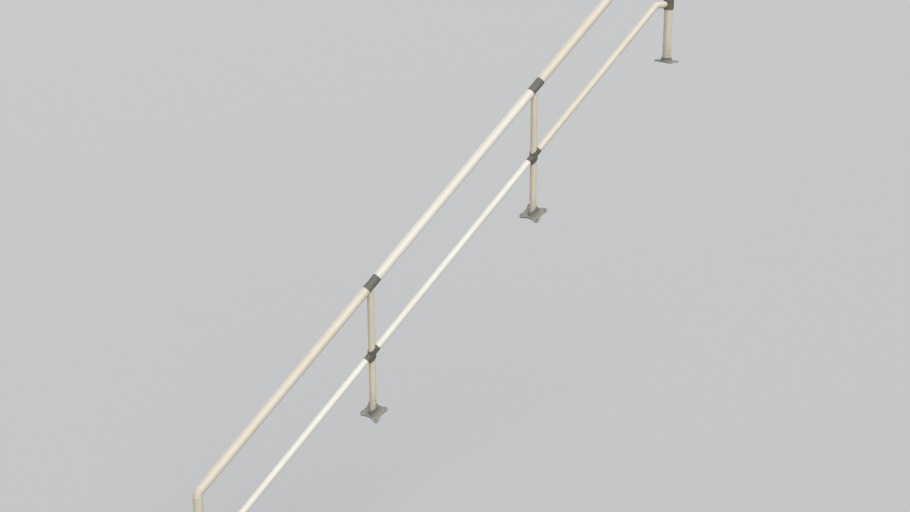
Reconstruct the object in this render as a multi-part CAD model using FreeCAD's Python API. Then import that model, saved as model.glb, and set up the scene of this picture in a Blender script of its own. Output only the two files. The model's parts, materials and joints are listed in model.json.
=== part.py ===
"""Stair balustrade: a painted tube handrail and mid rail on four posts, with grey cast fittings.

The balustrade stands in the plane Y = 0 and climbs towards +X. The origin is the middle of the
underside of the lowest base flange, at the foot of the flight. Lengths are millimetres.
"""

import math
import os

import FreeCAD
import Part

V = FreeCAD.Vector
UP = V(0, 0, 1)
DOWN = V(0, 0, -1)
LEVEL = V(1, 0, 0)
ACROSS = V(0, 1, 0)
NEAR = 0.01  # a point this close to a surface lies on it
FILLET_SHARE = 0.9  # how much of a narrow wall a fillet may take up

# The flight that the balustrade follows
stair_riser = 180.0
stair_going = 228.0
treads_per_bay = 6  # from one pitch post to the next
lower_bay_going = 1296.0  # from the lower end post to the first pitch post
landing_rise = 900.0  # landing above the foot of the upper pitch post

# Rails, measured from the fixing surface up each post's axis to the rail's axis
rail_height = 870.0
mid_rail_height = 410.0

# Tubes
top_rail_od = 60.3
mid_rail_od = 44.5
pitch_post_od = 44.5
tube_wall = 3.2

# Bends, to the tube's axis
top_bend_radius = 51.0
mid_bend_radius = 38.0
landing_flat_run = 62.0  # straight tube between the two top bends over the landing

# In-line couplings of the top rail, flush with its tube, measured from the post's axis
coupling_downhill_length = 40.0
coupling_uphill_length = 70.0
coupling_spigot = 45.0
coupling_wall = 6.0
coupling_edge = 1.2

# Collars that carry the mid rail on the posts
collar_wall = 5.8
collar_half_height = 36.0  # from the rail's axis to either rim, up the post
collar_edge = 1.5
collar_fillet = 2.0
stub_straight = 0.8  # from the fillet on the stub's sharp side to the shoulder that the rail seats on
collar_spigot = 40.0
collar_spigot_wall = 5.0

# Base flanges: the level ones under the end posts, and the longer ones on the pitch
end_bolt_spacing_along = 60.0
end_bolt_spacing_across = 120.0
end_waist_along = 11.0  # from the line of bolts out to the waist of the long sides
end_waist_across = 6.0  # from the line of bolts out to the waist of the short sides
pitch_bolt_spacing_along = 88.0
pitch_bolt_spacing_across = 148.0
pitch_waist_along = 7.0
pitch_waist_across = 6.0
flange_thickness = 11.0
flange_edge = 2.0
bolt_hole_diameter = 14.0
spot_face_diameter = 26.0
spot_face_depth = 0.8
lobe_radius = 20.0
boss_wall = 6.5
boss_height = 22.0
boss_edge = 2.0
boss_fillet = 3.0
socket_floor = 4.0

# Fits
socket_clearance = 0.3  # between a tube and the casting round it or inside it, on the radius
weld_gap = 0.2  # between a post's coped head and the rail above it

# Worked out from the sizes above
pitch = math.atan2(stair_riser, stair_going)
uphill = V(math.cos(pitch), 0, math.sin(pitch))
downhill = uphill * -1
top_rail_radius = top_rail_od / 2
mid_rail_radius = mid_rail_od / 2
pitch_post_radius = pitch_post_od / 2
upper_pitch_post_x = lower_bay_going + treads_per_bay * stair_going
landing_level = upper_pitch_post_x * math.tan(pitch) + landing_rise
landing_edge = landing_level / math.tan(pitch)  # where the rails turn level
landing_bend_tangent = top_bend_radius * math.tan(pitch / 2)
landing_post_x = landing_edge + landing_bend_tangent + landing_flat_run + top_bend_radius
reach = landing_post_x + landing_level  # longer than anything that a cutting block has to clear

# Feet of the four posts, on their axes
lower_foot = V(0, 0, 0)
pitch_feet = [V(x, 0, x * math.tan(pitch)) for x in (lower_bay_going, upper_pitch_post_x)]
landing_foot = V(landing_post_x, 0, landing_level)


def tube(start, end, diameter):
    """A straight tube with square ends."""
    run = end - start
    outside = Part.makeCylinder(diameter / 2, run.Length, start, run)
    inside = Part.makeCylinder(diameter / 2 - tube_wall, run.Length, start, run)
    return outside.cut(inside)


def bend(corner, arriving, leaving, diameter, radius):
    """A tube bend that rounds the corner between two directions of travel."""
    turn = arriving.getAngle(leaving)
    start = corner - arriving * (radius * math.tan(turn / 2))
    hinge = arriving.cross(leaving).normalize()
    centre = start + hinge.cross(arriving) * radius
    rim = Part.Face(Part.Wire(Part.makeCircle(diameter / 2, start, arriving)))
    hole = Part.Face(Part.Wire(Part.makeCircle(diameter / 2 - tube_wall, start, arriving)))
    return rim.cut(hole).revolve(centre, hinge, math.degrees(turn))


def bend_tangent(arriving, leaving, radius):
    """How far from its corner a bend starts and ends."""
    return radius * math.tan(arriving.getAngle(leaving) / 2)


def above_plane(point, normal):
    """A block that fills the side of a plane that its normal points to."""
    block = Part.makeBox(2 * reach, 2 * reach, reach, V(-reach, -reach, 0))
    block.Placement = FreeCAD.Placement(point, FreeCAD.Rotation(UP, normal))
    return block


def turned(profile, origin, direction):
    """A round solid from a closed profile of (radius, height) points, stood on its axis."""
    outline = Part.makePolygon([V(r, 0, h) for r, h in profile + profile[:1]])
    solid = Part.Face(outline).revolve(V(0, 0, 0), UP, 360)
    solid.Placement = FreeCAD.Placement(origin, FreeCAD.Rotation(UP, direction))
    return solid


def rail_coupling(axis_point):
    """A flush in-line coupling with a hollow spigot for each length of top rail."""
    body = top_rail_radius
    spigot = top_rail_radius - tube_wall - socket_clearance
    bore = spigot - coupling_wall
    edge = coupling_edge
    top = coupling_downhill_length + coupling_uphill_length
    profile = [
        (bore, -coupling_spigot),
        (spigot - edge, -coupling_spigot),
        (spigot, edge - coupling_spigot),
        (spigot, 0),
        (body - edge, 0),
        (body, edge),
        (body, top - edge),
        (body - edge, top),
        (spigot, top),
        (spigot, top + coupling_spigot - edge),
        (spigot - edge, top + coupling_spigot),
        (bore, top + coupling_spigot),
    ]
    return turned(profile, axis_point - uphill * coupling_downhill_length, uphill)


def stub_fillet(direction):
    """Radius and reach of the fillet on a stub's sharp side, limited by the wall left under the rim."""
    half_angle = math.acos(abs(direction.z)) / 2
    stub_half_height = mid_rail_radius / math.hypot(direction.x, direction.y)
    wall_left = collar_half_height - collar_edge - stub_half_height
    radius = min(collar_fillet, FILLET_SHARE * wall_left * math.tan(half_angle))
    return radius, radius / math.tan(half_angle)


def collar_shoulder(post_radius, direction):
    """Distance along a rail from the post's axis to the shoulder that the rail's end seats on."""
    collar_radius = post_radius + socket_clearance + collar_wall
    level_share = math.hypot(direction.x, direction.y)
    clear_of_collar = (collar_radius + mid_rail_radius * abs(direction.z)) / level_share
    return clear_of_collar + stub_fillet(direction)[1] + stub_straight


def rail_collar(crossing, post_radius, directions):
    """A collar round a post, rims parallel to the rail, with a stub and a spigot for each mid rail."""
    collar_radius = post_radius + socket_clearance + collar_wall
    along = directions[0] if directions[0].x > 0 else directions[0] * -1
    normal = V(-along.z, 0, along.x)
    sleeve = Part.makeCylinder(collar_radius, 2 * reach, crossing - UP * reach)
    for side in (UP, DOWN):
        rim = crossing + side * collar_half_height
        sleeve = sleeve.cut(above_plane(rim, normal * side.z))
    sleeve = sleeve.makeChamfer(collar_edge, [e for e in sleeve.Edges if e.Closed])

    collar = sleeve
    for way in directions:
        stub = Part.makeCylinder(mid_rail_radius, collar_shoulder(post_radius, way), crossing, way)
        collar = collar.fuse(stub)
    collar = collar.removeSplitter()

    def joins_stub(edge):
        point = edge.valueAt((edge.FirstParameter + edge.LastParameter) / 2) - crossing
        on_sleeve = abs(math.hypot(point.x, point.y) - collar_radius) < NEAR
        on_stub = abs(point.cross(along).Length - mid_rail_radius) < NEAR
        return on_sleeve and on_stub

    collar = collar.makeFillet(stub_fillet(along)[0], [e for e in collar.Edges if joins_stub(e)])

    spigot_radius = mid_rail_radius - tube_wall - socket_clearance
    for way in directions:
        shoulder = collar_shoulder(post_radius, way)
        mouth = crossing + way * shoulder
        spigot = Part.makeCylinder(spigot_radius, shoulder + collar_spigot, crossing, way)
        core = Part.makeCylinder(spigot_radius - collar_spigot_wall, collar_spigot, mouth, way)
        collar = collar.fuse(spigot).cut(core)
    bore = Part.makeCylinder(post_radius + socket_clearance, 2 * reach, crossing - UP * reach)
    return collar.cut(bore).removeSplitter()


def waist_radius(half_spacing, waist):
    """Radius of the hollow arc that runs smoothly into two lobes and passes the waist."""
    rise = half_spacing**2 + waist**2 - lobe_radius**2
    return rise / (2 * (lobe_radius - waist))


def flange_outline(along, across, waist_along, waist_across):
    """Four round lobes at half the bolt spacings, joined by hollow arcs, in the flange's own plane."""
    long_side = waist_radius(across, waist_along)
    short_side = waist_radius(along, waist_across)

    def touch(lobe, hollow):
        return lobe + (hollow - lobe).normalize() * lobe_radius

    edges = []
    corners = [(1, -1), (1, 1), (-1, 1), (-1, -1)]
    for number, (sx, sy) in enumerate(corners):
        lobe = V(sx * along, sy * across, 0)
        side = V(sx * (along + waist_along + long_side), 0, 0)
        end = V(0, sy * (across + waist_across + short_side), 0)
        tip = lobe + V(sx, sy, 0).normalize() * lobe_radius
        edges.append(Part.Arc(touch(lobe, side), tip, touch(lobe, end)).toShape())
        next_x, next_y = corners[(number + 1) % 4]
        follower = V(next_x * along, next_y * across, 0)
        if next_x == sx:
            waist, hollow = V(sx * (along + waist_along), 0, 0), side
        else:
            waist, hollow = V(0, sy * (across + waist_across), 0), end
        edges.append(Part.Arc(touch(lobe, hollow), waist, touch(follower, hollow)).toShape())
    return Part.Wire(Part.__sortEdges__(edges))


def flange_plate(along, across, waist_along, waist_across):
    """The lobed plate lying flat, with a spot-faced bolt hole in each lobe."""
    underside = Part.Face(flange_outline(along, across, waist_along, waist_across))
    plate = underside.extrude(UP * flange_thickness)
    top_rim = [e for e in plate.Edges if min(v.Z for v in e.Vertexes) > flange_thickness / 2]
    plate = plate.makeChamfer(flange_edge, top_rim)
    seat = UP * (flange_thickness - spot_face_depth)
    for spot in [V(sx * along, sy * across, 0) for sx in (-1, 1) for sy in (-1, 1)]:
        hole = Part.makeCylinder(bolt_hole_diameter / 2, flange_thickness, spot)
        face = Part.makeCylinder(spot_face_diameter / 2, flange_thickness, spot + seat)
        plate = plate.cut(hole.fuse(face))
    return plate


def base_flange(plate, foot, slope, post_radius):
    """A lobed plate laid on a surface at that slope, with a boss that sockets an upright post."""
    normal = V(-math.sin(slope), 0, math.cos(slope))
    along = V(math.cos(slope), 0, math.sin(slope))
    lean = flange_thickness * math.tan(slope)  # brings the plate under the middle of the boss
    plate.Placement = FreeCAD.Placement(foot + along * lean, FreeCAD.Rotation(ACROSS, -math.degrees(slope)))

    rim_height = flange_thickness + boss_height
    boss_radius = post_radius + socket_clearance + boss_wall
    boss = Part.makeCylinder(boss_radius, 2 * reach, foot - UP * reach)
    boss = boss.common(above_plane(foot, normal)).cut(above_plane(foot + normal * rim_height, normal))
    rim = max(boss.Faces, key=lambda face: face.CenterOfMass.dot(normal))
    boss = boss.makeChamfer(boss_edge, rim.Edges)
    flange = plate.fuse(boss).removeSplitter()

    def joins_plate(edge):
        point = edge.valueAt((edge.FirstParameter + edge.LastParameter) / 2) - foot
        on_boss = abs(math.hypot(point.x, point.y) - boss_radius) < NEAR
        return on_boss and abs(point.dot(normal) - flange_thickness) < NEAR

    flange = flange.makeFillet(boss_fillet, [e for e in flange.Edges if joins_plate(e)])
    socket = Part.makeCylinder(post_radius + socket_clearance, 2 * reach, foot - UP * reach)
    socket = socket.common(above_plane(foot + normal * socket_floor, normal))
    return flange.cut(socket).removeSplitter()


def end_flange(foot):
    """The level flange of an end post."""
    plate = flange_plate(
        end_bolt_spacing_along / 2, end_bolt_spacing_across / 2, end_waist_along, end_waist_across
    )
    return base_flange(plate, foot, 0.0, top_rail_radius)


def pitch_flange(foot):
    """The sloping flange of a post on the pitch."""
    plate = flange_plate(
        pitch_bolt_spacing_along / 2, pitch_bolt_spacing_across / 2, pitch_waist_along, pitch_waist_across
    )
    return base_flange(plate, foot, pitch, pitch_post_radius)


def pitch_post(foot):
    """An upright on the pitch: its foot is cut to the slope and its head is coped to the top rail."""
    normal = V(-math.sin(pitch), 0, math.cos(pitch))
    head = foot + UP * rail_height
    post = tube(foot - UP * (2 * pitch_post_od), head, pitch_post_od)
    post = post.common(above_plane(foot + normal * socket_floor, normal))
    rail = Part.makeCylinder(
        top_rail_radius + weld_gap, 4 * top_rail_od, head - uphill * (2 * top_rail_od), uphill
    )
    return post.cut(rail)


def top_rail_nodes():
    """The handrail: two end posts that it bends down into, three lengths of rail and two couplings."""
    lower_corner = lower_foot + UP * rail_height
    pitch_heads = [foot + UP * rail_height for foot in pitch_feet]
    landing_corner = V(landing_edge, 0, landing_level + rail_height)
    upper_corner = landing_foot + UP * rail_height
    lower_run = bend_tangent(downhill, DOWN, top_bend_radius)
    joints = [head - uphill * coupling_downhill_length for head in pitch_heads]
    restarts = [head + uphill * coupling_uphill_length for head in pitch_heads]
    landing_start = landing_corner - uphill * landing_bend_tangent
    flat_start = landing_corner + LEVEL * landing_bend_tangent
    flat_end = upper_corner - LEVEL * top_bend_radius
    flat = tube(flat_start, flat_end, top_rail_od)
    landing_bend = bend(landing_corner, uphill, LEVEL, top_rail_od, top_bend_radius)
    socket_seat = UP * socket_floor
    return {
        "lower_end_post": tube(
            lower_foot + socket_seat, lower_corner - UP * lower_run, top_rail_od
        ),
        "lower_end_bend": bend(lower_corner, downhill, DOWN, top_rail_od, top_bend_radius),
        "top_rail_lower": tube(lower_corner + uphill * lower_run, joints[0], top_rail_od),
        "top_rail_coupling_lower": rail_coupling(pitch_heads[0]),
        "top_rail_middle": tube(restarts[0], joints[1], top_rail_od),
        "top_rail_coupling_upper": rail_coupling(pitch_heads[1]),
        "top_rail_upper": tube(restarts[1], landing_start, top_rail_od),
        "top_rail_landing_bend": landing_bend.fuse(flat).removeSplitter(),
        "upper_end_bend": bend(upper_corner, LEVEL, DOWN, top_rail_od, top_bend_radius),
        "upper_end_post": tube(
            landing_foot + socket_seat, upper_corner - UP * top_bend_radius, top_rail_od
        ),
    }


def mid_rail_nodes():
    """Three lengths of mid rail between the collars, and the bend that levels it at the landing."""
    starts = [foot + UP * mid_rail_height for foot in [lower_foot] + pitch_feet]
    landing_corner = V(landing_edge, 0, landing_level + mid_rail_height)
    landing_end = landing_foot + UP * mid_rail_height
    end_shoulder = collar_shoulder(top_rail_radius, uphill)
    pitch_shoulder = collar_shoulder(pitch_post_radius, uphill)
    landing_shoulder = collar_shoulder(top_rail_radius, LEVEL)
    tangent = bend_tangent(uphill, LEVEL, mid_bend_radius)
    tail = tube(landing_corner + LEVEL * tangent, landing_end - LEVEL * landing_shoulder, mid_rail_od)
    landing_bend = bend(landing_corner, uphill, LEVEL, mid_rail_od, mid_bend_radius)
    return {
        "mid_rail_lower": tube(
            starts[0] + uphill * end_shoulder, starts[1] - uphill * pitch_shoulder, mid_rail_od
        ),
        "mid_rail_middle": tube(
            starts[1] + uphill * pitch_shoulder, starts[2] - uphill * pitch_shoulder, mid_rail_od
        ),
        "mid_rail_upper": tube(
            starts[2] + uphill * pitch_shoulder, landing_corner - uphill * tangent, mid_rail_od
        ),
        "mid_rail_landing_bend": landing_bend.fuse(tail).removeSplitter(),
        "lower_end_collar": rail_collar(starts[0], top_rail_radius, [uphill]),
        "pitch_collar_lower": rail_collar(starts[1], pitch_post_radius, [uphill, downhill]),
        "pitch_collar_upper": rail_collar(starts[2], pitch_post_radius, [uphill, downhill]),
        "upper_end_collar": rail_collar(landing_end, top_rail_radius, [LEVEL * -1]),
    }


def support_nodes():
    """The two uprights on the pitch and the four base flanges."""
    return {
        "pitch_post_lower": pitch_post(pitch_feet[0]),
        "pitch_post_upper": pitch_post(pitch_feet[1]),
        "lower_end_flange": end_flange(lower_foot),
        "pitch_flange_lower": pitch_flange(pitch_feet[0]),
        "pitch_flange_upper": pitch_flange(pitch_feet[1]),
        "upper_end_flange": end_flange(landing_foot),
    }


def main():
    os.makedirs("parts", exist_ok=True)
    nodes = {**top_rail_nodes(), **mid_rail_nodes(), **support_nodes()}
    for name, shape in nodes.items():
        shape.exportStep(f"parts/{name}.step")
        solids = len(shape.Solids)
        print(f"{name}: {solids} solid, valid {shape.isValid()}, {shape.Volume / 1000:.1f} cm3")


main()
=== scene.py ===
"""A cream tube stair balustrade with grey cast fittings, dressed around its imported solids."""

import json
import math

import bmesh
import bpy
from mathutils import Matrix, Vector


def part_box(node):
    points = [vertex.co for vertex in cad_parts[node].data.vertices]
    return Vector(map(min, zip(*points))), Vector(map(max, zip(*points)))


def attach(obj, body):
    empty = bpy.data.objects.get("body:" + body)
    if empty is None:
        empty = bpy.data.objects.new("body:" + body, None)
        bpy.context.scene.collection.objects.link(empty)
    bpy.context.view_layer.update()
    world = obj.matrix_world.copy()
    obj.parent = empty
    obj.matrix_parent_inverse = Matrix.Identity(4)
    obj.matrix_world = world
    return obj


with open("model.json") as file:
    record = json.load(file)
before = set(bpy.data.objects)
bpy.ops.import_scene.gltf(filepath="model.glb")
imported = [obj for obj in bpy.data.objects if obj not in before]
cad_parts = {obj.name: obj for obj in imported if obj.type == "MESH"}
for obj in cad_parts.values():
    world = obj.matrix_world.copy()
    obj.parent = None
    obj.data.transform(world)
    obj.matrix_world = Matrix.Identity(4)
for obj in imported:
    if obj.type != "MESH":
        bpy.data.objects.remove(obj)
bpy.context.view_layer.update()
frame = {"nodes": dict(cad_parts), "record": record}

# Camera, fitted to the posts, rails and flanges of the photograph
IMAGE_WIDTH = 910
FOCAL_PIXELS = 1425.39
SENSOR_WIDTH_MM = 36.0
CAMERA_PLACE = Vector((-3.6274, -6.9003, 4.7977))
CAMERA_HEADING = math.radians(39.104)  # from +Y towards +X
CAMERA_DIP = math.radians(17.782)  # below the horizon
CAMERA_ROLL = math.radians(-0.223)
CAMERA_REACH = 500.0  # past the far edge of the floor

# Studio
KEY_FROM = Vector((-0.22, -0.66, 0.72))
KEY_STRENGTH = 2.08
KEY_SOFTNESS = math.radians(50)
FILL_FROM = Vector((0.30, 0.88, 0.36))
FILL_STRENGTH = 0.8
FILL_SOFTNESS = math.radians(60)
ROOM_LIGHT = 0.45
ROOM_COLOUR = (1, 1, 1, 1)
FLOOR_SIZE = 160.0
FLOOR_COLOUR = (0.53, 0.54, 0.55, 1.0)
FLOOR_BOUNCE = (0.24, 0.24, 0.24, 1.0)  # what the floor gives back to the underside of the rails
FLOOR_ROUGHNESS = 0.9
HORIZON_COLOUR = (0.56, 0.57, 0.58, 1.0)

# Colours of the paints and metals
RAIL_CREAM = (0.82, 0.76, 0.635, 1.0)
RAIL_CREAM_SHADE = (0.775, 0.705, 0.565, 1.0)
# Painted light: the pale cream is a brighter, whiter copy of the rail cream for the middle lengths,
# which stand in brighter light
PALE_CREAM = (0.90, 0.88, 0.795, 1.0)
PALE_CREAM_SHADE = (0.86, 0.83, 0.72, 1.0)
# Painted warm shade: the post cream is a darker, warmer copy of the rail cream, standing in for warm
# bounce light on the upright tubes
POST_CREAM = (0.80, 0.742, 0.60, 1.0)
POST_CREAM_SHADE = (0.74, 0.677, 0.53, 1.0)
HAND_POLISH = (0.72, 0.65, 0.52, 1.0)
SHOE_GRIME = (0.30, 0.27, 0.22, 1.0)
# grime and painted shade: the dark film at the foot of each post and over the fittings round it
SOCKET_GRIME_AND_SHADE = (0.09, 0.08, 0.066, 1.0)
PRIMER = (0.33, 0.31, 0.28, 1.0)
DUST = (0.60, 0.58, 0.53, 1.0)
COUPLING_GREY = (0.175, 0.170, 0.148, 1.0)
COUPLING_GREY_SHADE = (0.133, 0.129, 0.111, 1.0)
COLLAR_GREY = (0.157, 0.149, 0.110, 1.0)
COLLAR_GREY_SHADE = (0.117, 0.110, 0.080, 1.0)
FLANGE_GREY = (0.366, 0.360, 0.320, 1.0)
FLANGE_GREY_SHADE = (0.279, 0.272, 0.237, 1.0)
BARE_IRON = (0.42, 0.41, 0.39, 1.0)
SCREW_STEEL = (0.50, 0.49, 0.47, 1.0)
SCREW_STEEL_SHADE = (0.36, 0.35, 0.34, 1.0)

# Enamel, with sizes and heights in metres and the rest as shares
ENAMEL_CLOUDS = 0.30
ENAMEL_PEEL = 0.0035
ENAMEL_ROUGHNESS = 0.42
ENAMEL_DUST = 0.16
ENAMEL_DUST_ROUGHNESS = 0.5
ENAMEL_BUMP = {"Strength": 0.35, "Distance": 0.0006}
BRUSH_STRETCH = 0.93  # how far the brush marks are drawn out along a tube
BRUSH_TINT = 0.30
BRUSH_ROUGHNESS = 0.06
HAND_HEIGHTS = (0.86, 0.91)  # over the stair, from no polish to the most
HAND_SHARE = 0.35
HAND_ROUGHNESS = -0.25
SHOE_HEIGHTS = (0.20, 0.03)  # over the stair, from no scuffs to the most
SHOE_SHARE = 0.55
FITTING_GAPS = (0.13, 0.04)  # from a post's axis, from no wear to the most
FITTING_SHARE = 0.12
GRIME_ROUGHNESS = 0.35
CHIP_SIZE = 0.020
CHIP_DEPTH = 0.8
CHIP_EDGE = 0.015  # how softly a chip begins

# Castings, likewise
CAST_CLOUDS = 0.05
CAST_GRAIN = 0.0016
CAST_ROUGHNESS = 0.45
CAST_GRAIN_ROUGHNESS = 0.25
CAST_DUST_ROUGHNESS = 0.4
CAST_BUMP = {"Strength": 0.55, "Distance": 0.0008}
PIT_DIRT = 0.5
CORNER_WIDTH = 0.0018
CORNER_WEAR = 0.75
CORNER_ROUGHNESS = -0.15
SOCKET_GAPS = (0.070, 0.036)  # from a post's axis, from none of the grime and painted shade to the most
MOULD_SEAM_WIDTH = 0.0016

# Plating of the screws, likewise
ZINC_CLOUDS = 0.006
ZINC_GRAIN = 0.0004
ZINC_ROUGHNESS = 0.28
ZINC_GRAIN_ROUGHNESS = 0.25
ZINC_METALLIC = 0.9
ZINC_CORNER_WIDTH = 0.0004
ZINC_CORNER_WEAR = 0.4

# Welds, with sizes in metres
WELD_WIDTH = 0.0080
WELD_HEIGHT = 0.0012
WELD_STEPS = 432
WELD_SIDES = 12
WELD_RIPPLES = 72
WELD_RIPPLE_HEIGHT = 0.00013
WELD_RIPPLE_LAG = 2.5  # how far a ripple trails at the sides of its bead, in radians
WELD_SWAY = 0.00035  # how far a bead wanders to either side
SLOW_SWAYS = 3  # round one ring
QUICK_SWAYS = 7
QUICK_SWAY_SHARE = 0.6
QUICK_SWAY_START = 1.0
HEAD_WELD_SIZE = 0.0042

# Screws and their cast pads, in metres
PAD_RADIUS = 0.0095
PAD_HEIGHT = 0.0035
PAD_SINK = 0.005
PAD_SIDES = 32
PAD_TAPER = 0.88
PAD_RIM = 0.0029
PAD_BORE_DEPTH = 0.0030
PAD_EDGE = 0.0009
PAD_TOP_SHARE = 0.9  # of its height, above which an edge belongs to the rim
PAD_CORNER_ANGLE = 0.5  # in radians, past which an edge of the rim is rounded
SET_SCREW_DEPTH = 0.0003  # below a pad's rim
SET_SCREW = {
    "radius": 0.0045,
    "proud": 0.0,
    "socket_radius": 0.0026,
    "socket_depth": 0.0022,
    "edge": 0.0005,
}
RAIL_SCREW = {
    "radius": 0.0052,
    "proud": 0.0024,
    "socket_radius": 0.0024,
    "socket_depth": 0.0016,
    "edge": 0.0016,
}
SCREW_SIDES = 24
SOCKET_SIDES = 6
SCREW_SKIRT = 0.0026  # how far a screw's head goes on below its seat
BOSS_WALL = 0.0068  # from a post's surface to the outside of its flange's boss
BOSS_SCREW_HEIGHT = 0.021
RAIL_SCREW_SETBACK = 0.022  # from a rail's end
MERGE_DISTANCE = 1e-6

# Sockets of a Mix node that mixes colours
MIX_SHARE = 0
MIX_UNDER = 6
MIX_OVER = 7
MIX_RESULT = 2

RAIL_NODES = [
    "lower_end_bend", "top_rail_lower", "top_rail_upper", "top_rail_landing_bend", "upper_end_bend",
    "mid_rail_upper", "mid_rail_landing_bend",
]
# the lengths that take the pale cream, a painted-light copy of the rail cream
PALE_NODES = ["top_rail_middle", "mid_rail_lower", "mid_rail_middle"]
POST_NODES = ["lower_end_post", "pitch_post_lower", "pitch_post_upper", "upper_end_post"]
COUPLING_NODES = ["top_rail_coupling_lower", "top_rail_coupling_upper"]
COLLAR_NODES = ["lower_end_collar", "pitch_collar_lower", "pitch_collar_upper", "upper_end_collar"]
FLANGE_NODES = ["lower_end_flange", "pitch_flange_lower", "pitch_flange_upper", "upper_end_flange"]
LEVEL_FLANGES = ["lower_end_flange", "upper_end_flange"]
SCREWED_ENDS = {
    "top_rail_lower": ["upper"],
    "top_rail_middle": ["lower", "upper"],
    "top_rail_upper": ["lower"],
    "mid_rail_lower": ["lower", "upper"],
    "mid_rail_middle": ["lower", "upper"],
    "mid_rail_upper": ["lower"],
}

UP = Vector((0, 0, 1))
LEVEL = Vector((1, 0, 0))
OUTSIDE = Vector((0, 1, 0))  # the side that the flight doesn't see

# The flight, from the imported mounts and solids
MOUNTS = {mount["name"]: mount for mount in frame["record"]["mounts"]}
pitch_axis = MOUNTS["lower_pitch_base_face"]["axis"]
PITCH = math.atan2(pitch_axis[0], -pitch_axis[2])
SLOPE = math.tan(PITCH)
UPHILL = Vector((math.cos(PITCH), 0, math.sin(PITCH)))


def middle(node):
    low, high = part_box(node)
    return (low + high) / 2


def radius_of(node):
    """Half a node's width across the balustrade, which is a tube's radius."""
    low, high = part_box(node)
    return (high.y - low.y) / 2


def rail_ends(rail):
    """The lower and upper end of the axis of a length of rail on the pitch."""
    low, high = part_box(rail)
    half_run = ((high.x - low.x) / 2 - radius_of(rail) * math.sin(PITCH)) / math.cos(PITCH)
    return middle(rail) - UPHILL * half_run, middle(rail) + UPHILL * half_run


def rail_height(rail, along):
    """The height of the axis of a rail on the pitch, so far along the flight."""
    centre = middle(rail)
    return centre.z + (along - centre.x) * SLOPE


def collar_height(collar, axis):
    """The height at which the mid rail's axis meets a collar's post."""
    if collar == "upper_end_collar":
        return middle(collar).z
    return rail_height("mid_rail_lower", axis)


def foot_height(flange, axis):
    """The height of a flange's fixing face on its post's axis."""
    if flange in LEVEL_FLANGES:
        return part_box(flange)[0].z
    return axis * SLOPE


POST_AXES = [middle(post).x for post in POST_NODES]
LANDING_EDGE = rail_ends("mid_rail_upper")[1].x


class ShaderTree:
    """Adds nodes to one shader tree. A value for a socket is linked if it is a socket, or else set."""

    def __init__(self, tree):
        self.nodes = tree.nodes
        self.links = tree.links

    def put(self, socket, value):
        if isinstance(value, bpy.types.NodeSocket):
            self.links.new(value, socket)
        else:
            socket.default_value = value

    def add(self, kind, inputs=None, **settings):
        node = self.nodes.new(kind)
        for name, value in settings.items():
            setattr(node, name, value)
        for name, value in (inputs or {}).items():
            self.put(node.inputs[name], value)
        return node

    def use(self, group, **inputs):
        """Places a node group and gives its outputs."""
        return self.add("ShaderNodeGroup", inputs, node_tree=group).outputs

    def math(self, operation, *values, clamp=False):
        node = self.add("ShaderNodeMath", operation=operation, use_clamp=clamp)
        for socket, value in zip(node.inputs, values):
            self.put(socket, value)
        return node.outputs[0]

    def times(self, value, factor):
        return self.math("MULTIPLY", value, factor)

    def plus(self, base, value, factor, clamp=False):
        """The base plus a value times a factor."""
        return self.math("MULTIPLY_ADD", value, factor, base, clamp=clamp)

    def span(self, value, start, end):
        """0 where the value is at start, 1 where it is at end, and smooth between them."""
        inputs = {"Value": value, "From Min": start, "From Max": end}
        return self.add("ShaderNodeMapRange", inputs, interpolation_type="SMOOTHSTEP").outputs["Result"]

    def mix(self, share, under, over):
        node = self.add("ShaderNodeMix", data_type="RGBA")
        for number, value in ((MIX_SHARE, share), (MIX_UNDER, under), (MIX_OVER, over)):
            self.put(node.inputs[number], value)
        return node.outputs[MIX_RESULT]

    def place(self):
        return self.add("ShaderNodeTexCoord").outputs["Object"]

    def parts(self, vector):
        """The X, Y and Z of a vector."""
        return self.add("ShaderNodeSeparateXYZ", {"Vector": vector}).outputs

    def dot(self, one, other):
        node = self.add("ShaderNodeVectorMath", {0: one, 1: other}, operation="DOT_PRODUCT")
        return node.outputs["Value"]

    def squeeze(self, place, along, share):
        """The place squeezed along a direction by that share, so that noise on it runs in streaks."""
        reach = self.times(self.dot(place, along), share)
        back = self.add("ShaderNodeVectorMath", {0: along, "Scale": reach}, operation="SCALE").outputs[0]
        return self.add("ShaderNodeVectorMath", {0: place, 1: back}, operation="SUBTRACT").outputs[0]

    def noise(self, place, size, detail=2.0):
        """Cloudy noise whose lumps are about that many metres across."""
        inputs = {"Vector": place, "Scale": self.math("DIVIDE", 1.0, size), "Detail": detail}
        return self.add("ShaderNodeTexNoise", inputs).outputs[0]


def shader_group(name, inputs, outputs):
    """A shader node group with named sockets: the group, its tree, its inputs and its outputs."""
    group = bpy.data.node_groups.new(name, "ShaderNodeTree")
    for label, kind in inputs.items():
        group.interface.new_socket(label, in_out="INPUT", socket_type=f"NodeSocket{kind}")
    for label, kind in outputs.items():
        group.interface.new_socket(label, in_out="OUTPUT", socket_type=f"NodeSocket{kind}")
    tree = ShaderTree(group)
    given = tree.add("NodeGroupInput").outputs
    result = tree.add("NodeGroupOutput").inputs
    return group, tree, given, result


def height_over_stair():
    """Height above the flight's pitch line, or above the landing."""
    group, tree, _, result = shader_group("height_over_stair", {}, {"Height": "Float"})
    spot = tree.parts(tree.place())
    climb = tree.times(tree.math("MINIMUM", spot["X"], LANDING_EDGE), SLOPE)
    tree.put(result["Height"], tree.math("SUBTRACT", spot["Z"], climb))
    return group


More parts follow.
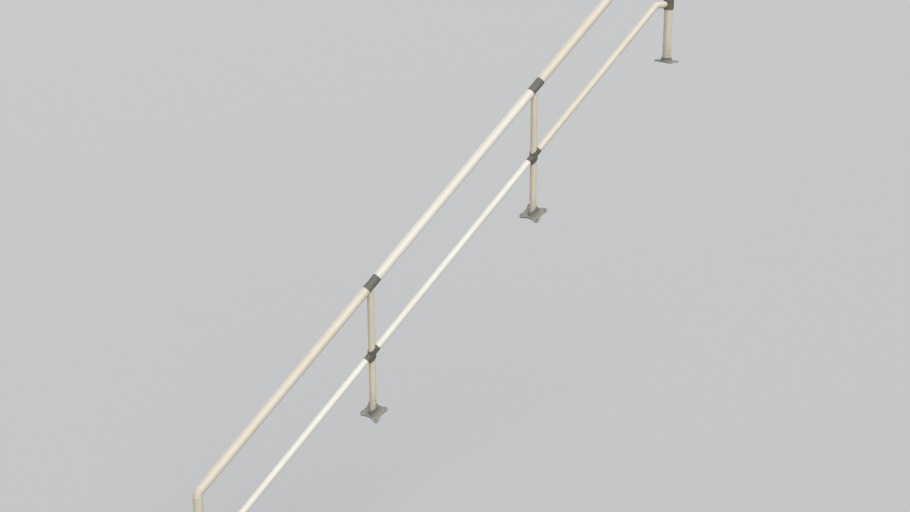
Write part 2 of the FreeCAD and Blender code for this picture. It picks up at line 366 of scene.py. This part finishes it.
def distance_from_post():
    """Level distance from the axis of the nearest post."""
    group, tree, _, result = shader_group("distance_from_post", {}, {"Distance": "Float"})
    spot = tree.parts(tree.place())
    gaps = [tree.math("ABSOLUTE", tree.math("SUBTRACT", spot["X"], axis)) for axis in POST_AXES]
    along = gaps[0]
    for gap in gaps[1:]:
        along = tree.math("MINIMUM", along, gap)
    across = tree.math("MULTIPLY", spot["Y"], spot["Y"])
    square = tree.math("MULTIPLY_ADD", along, along, across)
    tree.put(result["Distance"], tree.math("SQRT", square))
    return group


def coat_mottle():
    """A coat that drifts between its colour and a shade of it, in large clouds and small ones."""
    group, tree, given, result = shader_group(
        "coat_mottle", {"Colour": "Color", "Shade": "Color", "Size": "Float"}, {"Colour": "Color"}
    )
    place = tree.place()
    large = tree.noise(place, given["Size"])
    small = tree.noise(place, tree.times(given["Size"], factor=0.12), detail=4.0)
    cloud = tree.math("ADD", tree.times(large, factor=0.62), tree.times(small, factor=0.38))
    shaded = tree.span(cloud, start=0.36, end=0.66)
    tree.put(result["Colour"], tree.mix(shaded, given["Colour"], given["Shade"]))
    return group


def grime_and_shade_film():
    """A patchy film over a colour, as thick as its reach says."""
    group, tree, given, result = shader_group(
        "grime_and_shade_film",
        {"Colour": "Color", "Film": "Color", "Reach": "Float"},
        {"Colour": "Color", "Cover": "Float"},
    )
    place = tree.place()
    broken = tree.span(tree.noise(place, size=0.016, detail=5.0), start=0.30, end=0.72)
    streaks = tree.span(tree.noise(place, size=0.09), start=0.25, end=0.75)
    patch = tree.plus(base=0.3, value=tree.math("MULTIPLY", broken, streaks), factor=0.7)
    cover = tree.math("MULTIPLY", given["Reach"], patch, clamp=True)
    tree.put(result["Colour"], tree.mix(cover, given["Colour"], given["Film"]))
    tree.put(result["Cover"], cover)
    return group


def settled_dust():
    """Dust on what faces up."""
    group, tree, given, result = shader_group(
        "settled_dust", {"Colour": "Color", "Amount": "Float"}, {"Colour": "Color", "Cover": "Float"}
    )
    facing = tree.parts(tree.add("ShaderNodeTexCoord").outputs["Normal"])
    upward = tree.span(facing["Z"], start=0.45, end=1.0)
    patch = tree.span(tree.noise(tree.place(), size=0.05, detail=4.0), start=0.2, end=0.8)
    cover = tree.math("MULTIPLY", tree.math("MULTIPLY", upward, patch), given["Amount"], clamp=True)
    tree.put(result["Colour"], tree.mix(cover, given["Colour"], DUST))
    tree.put(result["Cover"], cover)
    return group


def coat_chips():
    """Small ragged chips, more of them where there is more knocking."""
    group, tree, given, result = shader_group(
        "coat_chips", {"Size": "Float", "Knocks": "Float"}, {"Mask": "Float"}
    )
    ragged = tree.noise(tree.place(), given["Size"], detail=6.0)
    whole = tree.plus(base=0.80, value=given["Knocks"], factor=-0.12)
    chipped = tree.math("ADD", whole, CHIP_EDGE)
    tree.put(result["Mask"], tree.span(ragged, start=whole, end=chipped))
    return group


def worn_edges():
    """Corners where the coat has rubbed thin, found by how a small rounding would turn the surface."""
    group, tree, given, result = shader_group("worn_edges", {"Width": "Float"}, {"Mask": "Float"})
    flat = tree.add("ShaderNodeNewGeometry").outputs["Normal"]
    rounded = tree.add("ShaderNodeBevel", {"Radius": given["Width"]}, samples=6).outputs["Normal"]
    corner = tree.span(tree.dot(flat, rounded), start=0.985, end=0.90)
    rubbed = tree.span(tree.noise(tree.place(), size=0.012, detail=5.0), start=0.30, end=0.62)
    tree.put(result["Mask"], tree.math("MULTIPLY", corner, rubbed))
    return group


def coat_ripple():
    """The runs, orange peel and brush marks of a coat as a height from 0 to 1, and the marks alone."""
    group, tree, given, result = shader_group(
        "coat_ripple", {"Size": "Float", "Along": "Vector"}, {"Height": "Float", "Marks": "Float"}
    )
    place = tree.place()
    peel = tree.noise(place, given["Size"], detail=1.0)
    runs = tree.noise(place, tree.times(given["Size"], factor=9.0), detail=1.0)
    brushed = tree.squeeze(place, given["Along"], BRUSH_STRETCH)
    marks = tree.span(tree.noise(brushed, given["Size"], detail=3.0), start=0.32, end=0.70)
    smooth = tree.plus(base=tree.times(peel, factor=0.25), value=runs, factor=0.5)
    tree.put(result["Height"], tree.plus(base=smooth, value=marks, factor=0.25))
    tree.put(result["Marks"], marks)
    return group


def mould_seam():
    """The thin line that two halves of a mould leave, in the balustrade's own plane."""
    group, tree, given, result = shader_group("mould_seam", {"Width": "Float"}, {"Height": "Float"})
    place = tree.place()
    across = tree.math("ABSOLUTE", tree.parts(place)["Y"])
    uneven = tree.plus(base=0.6, value=tree.noise(place, size=0.006), factor=0.8)
    width = tree.math("MULTIPLY", given["Width"], uneven)
    crest = tree.times(width, factor=0.35)
    tree.put(result["Height"], tree.span(across, start=width, end=crest))
    return group


def sand_cast_skin():
    """The grain and pits that a sand mould leaves, as a height from 0 to 1, and the pits alone."""
    group, tree, given, result = shader_group(
        "sand_cast_skin", {"Grain": "Float"}, {"Height": "Float", "Pits": "Float"}
    )
    place = tree.place()
    grain = tree.noise(place, given["Grain"], detail=3.0)
    lumps = tree.noise(place, tree.times(given["Grain"], factor=7.0))
    hollows = tree.noise(place, tree.times(given["Grain"], factor=2.5), detail=1.0)
    pits = tree.span(hollows, start=0.70, end=0.80)
    skin = tree.plus(base=tree.times(grain, factor=0.5), value=lumps, factor=0.5)
    tree.put(result["Height"], tree.math("SUBTRACT", skin, tree.times(pits, factor=0.5)))
    tree.put(result["Pits"], pits)
    return group


GROUPS = {
    make.__name__: make()
    for make in (
        height_over_stair, distance_from_post, coat_mottle, grime_and_shade_film, settled_dust, coat_chips,
        worn_edges, coat_ripple, mould_seam, sand_cast_skin,
    )
}


def new_finish(name):
    """A new material, its tree and its shader."""
    finish = bpy.data.materials.new(name)
    finish.use_nodes = True
    return finish, ShaderTree(finish.node_tree), finish.node_tree.nodes["Principled BSDF"].inputs


def cream_enamel(name, colour, shade, along):
    """Satin enamel brushed along a tube, polished by hands, scuffed by shoes and chipped at fittings."""
    finish, tree, shader = new_finish(name)
    height = tree.use(GROUPS["height_over_stair"])["Height"]
    from_post = tree.use(GROUPS["distance_from_post"])["Distance"]
    coat = tree.use(GROUPS["coat_mottle"], Colour=colour, Shade=shade, Size=ENAMEL_CLOUDS)["Colour"]
    ripple = tree.use(GROUPS["coat_ripple"], Size=ENAMEL_PEEL, Along=along)
    coat = tree.mix(tree.times(ripple["Marks"], BRUSH_TINT), coat, shade)

    polish = tree.times(tree.span(height, *HAND_HEIGHTS), HAND_SHARE)
    coat = tree.mix(polish, coat, HAND_POLISH)
    near_foot = tree.times(tree.span(height, *SHOE_HEIGHTS), SHOE_SHARE)
    at_fitting = tree.times(tree.span(from_post, *FITTING_GAPS), FITTING_SHARE)
    wear = tree.math("ADD", near_foot, at_fitting)
    film = tree.use(GROUPS["grime_and_shade_film"], Colour=coat, Film=SHOE_GRIME, Reach=wear)
    chips = tree.use(GROUPS["coat_chips"], Size=CHIP_SIZE, Knocks=wear)["Mask"]
    coat = tree.mix(chips, film["Colour"], PRIMER)
    dust = tree.use(GROUPS["settled_dust"], Colour=coat, Amount=ENAMEL_DUST)
    tree.put(shader["Base Color"], dust["Colour"])

    polished = tree.plus(ENAMEL_ROUGHNESS, polish, HAND_ROUGHNESS)
    brushed = tree.plus(polished, ripple["Marks"], BRUSH_ROUGHNESS)
    grimy = tree.plus(brushed, film["Cover"], GRIME_ROUGHNESS)
    dusty = tree.plus(grimy, dust["Cover"], ENAMEL_DUST_ROUGHNESS, clamp=True)
    tree.put(shader["Roughness"], dusty)
    surface = tree.math("SUBTRACT", ripple["Height"], tree.times(chips, CHIP_DEPTH))
    bump = tree.add("ShaderNodeBump", {"Height": surface, **ENAMEL_BUMP})
    tree.put(shader["Normal"], bump.outputs["Normal"])
    return finish


def cast_grey(name, colour, shade, dust_amount, socket_grime_and_shade, seam_width=None):
    """Grey-coated sand casting, rubbed to the iron at its corners, with grime and painted shade where
    the post goes in.
    """
    finish, tree, shader = new_finish(name)
    from_post = tree.use(GROUPS["distance_from_post"])["Distance"]
    coat = tree.use(GROUPS["coat_mottle"], Colour=colour, Shade=shade, Size=CAST_CLOUDS)["Colour"]
    skin = tree.use(GROUPS["sand_cast_skin"], Grain=CAST_GRAIN)
    coat = tree.mix(tree.times(skin["Pits"], PIT_DIRT), coat, SHOE_GRIME)
    worn = tree.use(GROUPS["worn_edges"], Width=CORNER_WIDTH)["Mask"]
    coat = tree.mix(tree.times(worn, CORNER_WEAR), coat, BARE_IRON)
    # grime and painted shade, darkest near a post's axis, where the post goes in
    reach = tree.times(tree.span(from_post, *SOCKET_GAPS), socket_grime_and_shade)
    film = tree.use(GROUPS["grime_and_shade_film"], Colour=coat, Film=SOCKET_GRIME_AND_SHADE, Reach=reach)
    dust = tree.use(GROUPS["settled_dust"], Colour=film["Colour"], Amount=dust_amount)
    tree.put(shader["Base Color"], dust["Colour"])

    grained = tree.plus(CAST_ROUGHNESS, skin["Height"], CAST_GRAIN_ROUGHNESS)
    rubbed = tree.plus(grained, worn, CORNER_ROUGHNESS)
    dusty = tree.plus(rubbed, dust["Cover"], CAST_DUST_ROUGHNESS, clamp=True)
    tree.put(shader["Roughness"], dusty)
    surface = skin["Height"]
    if seam_width:
        seam = tree.use(GROUPS["mould_seam"], Width=seam_width)["Height"]
        surface = tree.math("ADD", surface, seam)
    bump = tree.add("ShaderNodeBump", {"Height": surface, **CAST_BUMP})
    tree.put(shader["Normal"], bump.outputs["Normal"])
    return finish


def zinc_steel(name, colour, shade):
    """Plated steel of the screws."""
    finish, tree, shader = new_finish(name)
    coat = tree.use(GROUPS["coat_mottle"], Colour=colour, Shade=shade, Size=ZINC_CLOUDS)["Colour"]
    worn = tree.use(GROUPS["worn_edges"], Width=ZINC_CORNER_WIDTH)["Mask"]
    tree.put(shader["Base Color"], tree.mix(tree.times(worn, ZINC_CORNER_WEAR), coat, BARE_IRON))
    skin = tree.use(GROUPS["sand_cast_skin"], Grain=ZINC_GRAIN)["Height"]
    tree.put(shader["Roughness"], tree.plus(ZINC_ROUGHNESS, skin, ZINC_GRAIN_ROUGHNESS))
    shader["Metallic"].default_value = ZINC_METALLIC
    return finish


rail_cream = cream_enamel("rail_cream", RAIL_CREAM, RAIL_CREAM_SHADE, UPHILL)
pale_cream = cream_enamel("pale_cream", PALE_CREAM, PALE_CREAM_SHADE, UPHILL)
post_cream = cream_enamel("post_cream", POST_CREAM, POST_CREAM_SHADE, UP)
coupling_grey = cast_grey(
    "coupling_grey", COUPLING_GREY, COUPLING_GREY_SHADE,
    dust_amount=0.05, socket_grime_and_shade=0.2, seam_width=MOULD_SEAM_WIDTH,
)
collar_grey = cast_grey(
    "collar_grey", COLLAR_GREY, COLLAR_GREY_SHADE,
    dust_amount=0.10, socket_grime_and_shade=0.2, seam_width=MOULD_SEAM_WIDTH,
)
flange_grey = cast_grey("flange_grey", FLANGE_GREY, FLANGE_GREY_SHADE, dust_amount=0.25, socket_grime_and_shade=0.85)
screw_zinc = zinc_steel("screw_zinc", SCREW_STEEL, SCREW_STEEL_SHADE)


def camera_axes():
    """The camera's right, up and forward directions."""
    right = Vector((math.cos(CAMERA_HEADING), -math.sin(CAMERA_HEADING), 0))
    forward = Vector((
        math.sin(CAMERA_HEADING) * math.cos(CAMERA_DIP),
        math.cos(CAMERA_HEADING) * math.cos(CAMERA_DIP),
        -math.sin(CAMERA_DIP),
    ))
    up = right.cross(forward)
    turned_right = right * math.cos(CAMERA_ROLL) + up * math.sin(CAMERA_ROLL)
    turned_up = up * math.cos(CAMERA_ROLL) - right * math.sin(CAMERA_ROLL)
    return turned_right, turned_up, forward


def place_camera():
    lens = bpy.data.cameras.new("camera")
    lens.sensor_fit = "HORIZONTAL"
    lens.sensor_width = SENSOR_WIDTH_MM
    lens.lens = FOCAL_PIXELS * SENSOR_WIDTH_MM / IMAGE_WIDTH
    lens.clip_end = CAMERA_REACH
    camera = bpy.data.objects.new("camera", lens)
    right, up, forward = camera_axes()
    turn = Matrix((right, up, -forward)).transposed()
    camera.matrix_world = Matrix.Translation(CAMERA_PLACE) @ turn.to_4x4()
    bpy.context.scene.collection.objects.link(camera)
    bpy.context.scene.camera = camera


def hang_lamp(name, direction, strength, softness):
    """A soft lamp far off in that direction."""
    light = bpy.data.lights.new(name, "SUN")
    light.energy = strength
    light.angle = softness
    lamp = bpy.data.objects.new(name, light)
    lamp.rotation_mode = "QUATERNION"
    lamp.rotation_quaternion = direction.to_track_quat("Z", "Y")
    bpy.context.scene.collection.objects.link(lamp)


def seen_directly(tree):
    """1 for what the camera sees, also by a reflection or through glass, and 0 for light in the room."""
    path = tree.add("ShaderNodeLightPath").outputs
    mirrored = tree.math("ADD", path["Is Glossy Ray"], path["Is Transmission Ray"])
    return tree.math("ADD", path["Is Camera Ray"], mirrored, clamp=True)


def light_studio():
    hang_lamp("key", KEY_FROM, KEY_STRENGTH, KEY_SOFTNESS)
    hang_lamp("fill", FILL_FROM, FILL_STRENGTH, FILL_SOFTNESS)
    world = bpy.data.worlds.new("room")
    world.use_nodes = True
    tree = ShaderTree(world.node_tree)
    backdrop = world.node_tree.nodes["Background"].inputs
    share = seen_directly(tree)
    tree.put(backdrop["Color"], tree.mix(share, ROOM_COLOUR, HORIZON_COLOUR))
    tree.put(backdrop["Strength"], tree.plus(ROOM_LIGHT, share, 1.0 - ROOM_LIGHT))
    bpy.context.scene.world = world


def lay_floor():
    mesh = bpy.data.meshes.new("floor")
    shape = bmesh.new()
    bmesh.ops.create_grid(shape, x_segments=1, y_segments=1, size=FLOOR_SIZE / 2)
    shape.to_mesh(mesh)
    shape.free()
    floor = bpy.data.objects.new("floor", mesh)
    bpy.context.scene.collection.objects.link(floor)
    finish, tree, shader = new_finish("floor")
    tree.put(shader["Base Color"], tree.mix(seen_directly(tree), FLOOR_BOUNCE, FLOOR_COLOUR))
    shader["Roughness"].default_value = FLOOR_ROUGHNESS
    mesh.materials.append(finish)


def new_piece(name, shape, finish):
    """Makes a piece of the balustrade from a finished shape."""
    bmesh.ops.remove_doubles(shape, verts=shape.verts, dist=MERGE_DISTANCE)
    bmesh.ops.recalc_face_normals(shape, faces=shape.faces)
    mesh = bpy.data.meshes.new(name)
    shape.to_mesh(mesh)
    shape.free()
    mesh.materials.append(finish)
    piece = bpy.data.objects.new(name, mesh)
    bpy.context.scene.collection.objects.link(piece)
    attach(piece, "root")


def stand(shape, place, axis):
    """Stands a shape that was made round +Z at the origin on a place, along an axis."""
    turn = Matrix.Translation(place) @ axis.to_track_quat("Z", "Y").to_matrix().to_4x4()
    bmesh.ops.transform(shape, matrix=turn, verts=shape.verts)


def verts_of(geometry):
    return [item for item in geometry if isinstance(item, bmesh.types.BMVert)]


def rippled_bead(radius, width, height):
    """A ring of weld round +Z with the ripples that each puddle leaves."""
    shape = bmesh.new()
    section = (
        Matrix.Translation((radius, 0, 0))
        @ Matrix.Rotation(math.pi / 2, 4, "X")
        @ Matrix.Diagonal((height, width / 2, 1, 1))
    )
    bmesh.ops.create_circle(shape, segments=WELD_SIDES, radius=1, matrix=section)
    bmesh.ops.spin(
        shape, geom=shape.verts[:] + shape.edges[:], cent=(0, 0, 0), axis=(0, 0, 1),
        angle=2 * math.pi, steps=WELD_STEPS, use_merge=True,
    )
    for vert in shape.verts:
        outward = Vector((vert.co.x, vert.co.y, 0)).normalized()
        angle = math.atan2(vert.co.y, vert.co.x)
        lag = WELD_RIPPLE_LAG * (2 * vert.co.z / width) ** 2
        quick_sway = QUICK_SWAY_SHARE * math.sin(QUICK_SWAYS * angle + QUICK_SWAY_START)
        sway = math.sin(SLOW_SWAYS * angle) + quick_sway
        vert.co += outward * WELD_RIPPLE_HEIGHT * (math.cos(WELD_RIPPLES * angle + lag) + sway)
        vert.co.z += WELD_SWAY * sway
    for face in shape.faces:
        face.smooth = True
    return shape


def weld_ring(name, place, axis, tube_radius, finish):
    """The butt weld between a tube and a bend."""
    shape = rippled_bead(tube_radius, WELD_WIDTH, WELD_HEIGHT)
    stand(shape, place, axis)
    new_piece(name, shape, finish)


def post_head_weld(name, post, rail, finish):
    """The fillet weld that follows the saddle where a post's coped head meets the handrail."""
    post_radius, rail_radius = radius_of(post), radius_of(rail)
    axis = middle(post).x
    shape = rippled_bead(post_radius, 2 * HEAD_WELD_SIZE, HEAD_WELD_SIZE)
    for vert in shape.verts:
        angle = math.atan2(vert.co.y, vert.co.x)
        forward, aside = post_radius * math.cos(angle), post_radius * math.sin(angle)
        under_rail = math.sqrt(rail_radius**2 - aside**2)
        vert.co.z += (forward * math.sin(PITCH) - under_rail) / math.cos(PITCH)
    bmesh.ops.translate(shape, vec=(axis, 0, rail_height(rail, axis)), verts=shape.verts)
    new_piece(name, shape, finish)


def screw_pad(name, place, outward, finish):
    """A round pad cast on a fitting's wall, bored for a set screw."""
    shape = bmesh.new()
    sunk = Matrix.Translation((0, 0, -PAD_SINK))
    bmesh.ops.create_circle(shape, cap_ends=True, segments=PAD_SIDES, radius=PAD_RADIUS, matrix=sunk)
    grown = bmesh.ops.extrude_face_region(shape, geom=shape.faces[:])["geom"]
    top = [item for item in grown if isinstance(item, bmesh.types.BMFace)]
    rim_verts = verts_of(grown)
    bmesh.ops.translate(shape, vec=(0, 0, PAD_SINK + PAD_HEIGHT), verts=rim_verts)
    bmesh.ops.scale(shape, vec=(PAD_TAPER, PAD_TAPER, 1), verts=rim_verts)
    bmesh.ops.inset_region(shape, faces=top, thickness=PAD_RIM)
    bore = bmesh.ops.extrude_face_region(shape, geom=top)["geom"]
    bmesh.ops.delete(shape, geom=top, context="FACES_ONLY")
    bmesh.ops.translate(shape, vec=(0, 0, -PAD_BORE_DEPTH), verts=verts_of(bore))
    rim_bottom = PAD_HEIGHT * PAD_TOP_SHARE
    corners = [
        edge for edge in shape.edges
        if all(vert.co.z > rim_bottom for vert in edge.verts)
        and edge.calc_face_angle(0) > PAD_CORNER_ANGLE
    ]
    bmesh.ops.bevel(
        shape, geom=corners, offset=PAD_EDGE, segments=3, profile=0.5, affect="EDGES", material=-1
    )
    for face in shape.faces:
        face.smooth = len(face.verts) == 4  # not the flat ends
    stand(shape, place, outward)
    new_piece(name, shape, finish)


def socket_screw(name, place, outward, radius, proud, socket_radius, socket_depth, edge):
    """The head of a screw with its hexagon socket."""
    shape = bmesh.new()
    top = Matrix.Translation((0, 0, proud))
    bmesh.ops.create_circle(shape, segments=SCREW_SIDES, radius=radius, matrix=top)
    rim = shape.edges[:]
    bmesh.ops.create_circle(shape, segments=SOCKET_SIDES, radius=socket_radius, matrix=top)
    socket = [side for side in shape.edges if side not in rim]
    bmesh.ops.bridge_loops(shape, edges=rim + socket)
    for sides, depth in ((socket, socket_depth), (rim, proud + SCREW_SKIRT)):
        grown = bmesh.ops.extrude_edge_only(shape, edges=sides)["geom"]
        bmesh.ops.translate(shape, vec=(0, 0, -depth), verts=verts_of(grown))
        foot = [item for item in grown if isinstance(item, bmesh.types.BMEdge)]
        bmesh.ops.contextual_create(shape, geom=foot)
    rounded = bmesh.ops.bevel(
        shape, geom=rim, offset=edge, segments=5, profile=0.5, affect="EDGES", material=-1
    )
    for face in rounded["faces"]:
        face.smooth = True
    stand(shape, place, outward)
    new_piece(name, shape, screw_zinc)


def paint_nodes():
    """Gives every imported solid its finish."""
    for finish, nodes in (
        (rail_cream, RAIL_NODES),
        (pale_cream, PALE_NODES),
        (post_cream, POST_NODES),
        (coupling_grey, COUPLING_NODES),
        (collar_grey, COLLAR_NODES),
        (flange_grey, FLANGE_NODES),
    ):
        for node in nodes:
            frame["nodes"][node].data.materials[0] = finish


def weld_joints():
    """Rings where tubes meet bends, and saddles where the pitch posts meet the handrail."""
    lower_post_top = Vector((POST_AXES[0], 0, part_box("lower_end_post")[1].z))
    upper_post_top = Vector((POST_AXES[-1], 0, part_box("upper_end_post")[1].z))
    upper_bend_low, upper_bend_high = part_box("upper_end_bend")
    handrail = radius_of("top_rail_lower")
    mid_rail = radius_of("mid_rail_upper")
    landing_joint = Vector((upper_bend_low.x, 0, upper_bend_high.z - handrail))
    weld_ring("lower_bend_foot_weld", lower_post_top, UP, handrail, post_cream)
    weld_ring("lower_bend_head_weld", rail_ends("top_rail_lower")[0], UPHILL, handrail, rail_cream)
    weld_ring("landing_bend_weld", rail_ends("top_rail_upper")[1], UPHILL, handrail, rail_cream)
    weld_ring("upper_bend_head_weld", landing_joint, LEVEL, handrail, rail_cream)
    weld_ring("upper_bend_foot_weld", upper_post_top, UP, handrail, post_cream)
    weld_ring("mid_rail_bend_weld", rail_ends("mid_rail_upper")[1], UPHILL, mid_rail, rail_cream)
    post_head_weld("lower_post_head_weld", "pitch_post_lower", "top_rail_lower", post_cream)
    post_head_weld("upper_post_head_weld", "pitch_post_upper", "top_rail_middle", post_cream)


def fit_set_screws():
    """A set screw on a cast pad in each collar and each flange's boss."""
    for axis, post, collar, flange in zip(POST_AXES, POST_NODES, COLLAR_NODES, FLANGE_NODES):
        label = collar.replace("_collar", "")
        collar_wall = Vector((axis, radius_of(collar), collar_height(collar, axis)))
        boss_screw_height = foot_height(flange, axis) + BOSS_SCREW_HEIGHT
        boss_wall = Vector((axis, radius_of(post) + BOSS_WALL, boss_screw_height))
        for part, wall, finish in (
            ("collar", collar_wall, collar_grey),
            ("boss", boss_wall, flange_grey),
        ):
            screw_pad(f"{label}_{part}_screw_pad", wall, OUTSIDE, finish)
            screw_seat = wall + OUTSIDE * (PAD_HEIGHT - SET_SCREW_DEPTH)
            socket_screw(f"{label}_{part}_screw", screw_seat, OUTSIDE, **SET_SCREW)


def fit_rail_screws():
    """A screw through each rail's end into the spigot inside it, on the side away from the flight."""
    for rail, ends in SCREWED_ENDS.items():
        lower, upper = rail_ends(rail)
        wall = OUTSIDE * radius_of(rail)
        seats = {
            "lower": lower + UPHILL * RAIL_SCREW_SETBACK + wall,
            "upper": upper - UPHILL * RAIL_SCREW_SETBACK + wall,
        }
        for end in ends:
            socket_screw(f"{rail}_{end}_screw", seats[end], OUTSIDE, **RAIL_SCREW)
    landing_seat = Vector((
        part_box("mid_rail_landing_bend")[1].x - RAIL_SCREW_SETBACK,
        radius_of("mid_rail_landing_bend"),
        middle("upper_end_collar").z,
    ))
    socket_screw("mid_rail_landing_screw", landing_seat, OUTSIDE, **RAIL_SCREW)


paint_nodes()
weld_joints()
fit_set_screws()
fit_rail_screws()
place_camera()
light_studio()
lay_floor()
bpy.context.scene.view_settings.view_transform = "Standard"
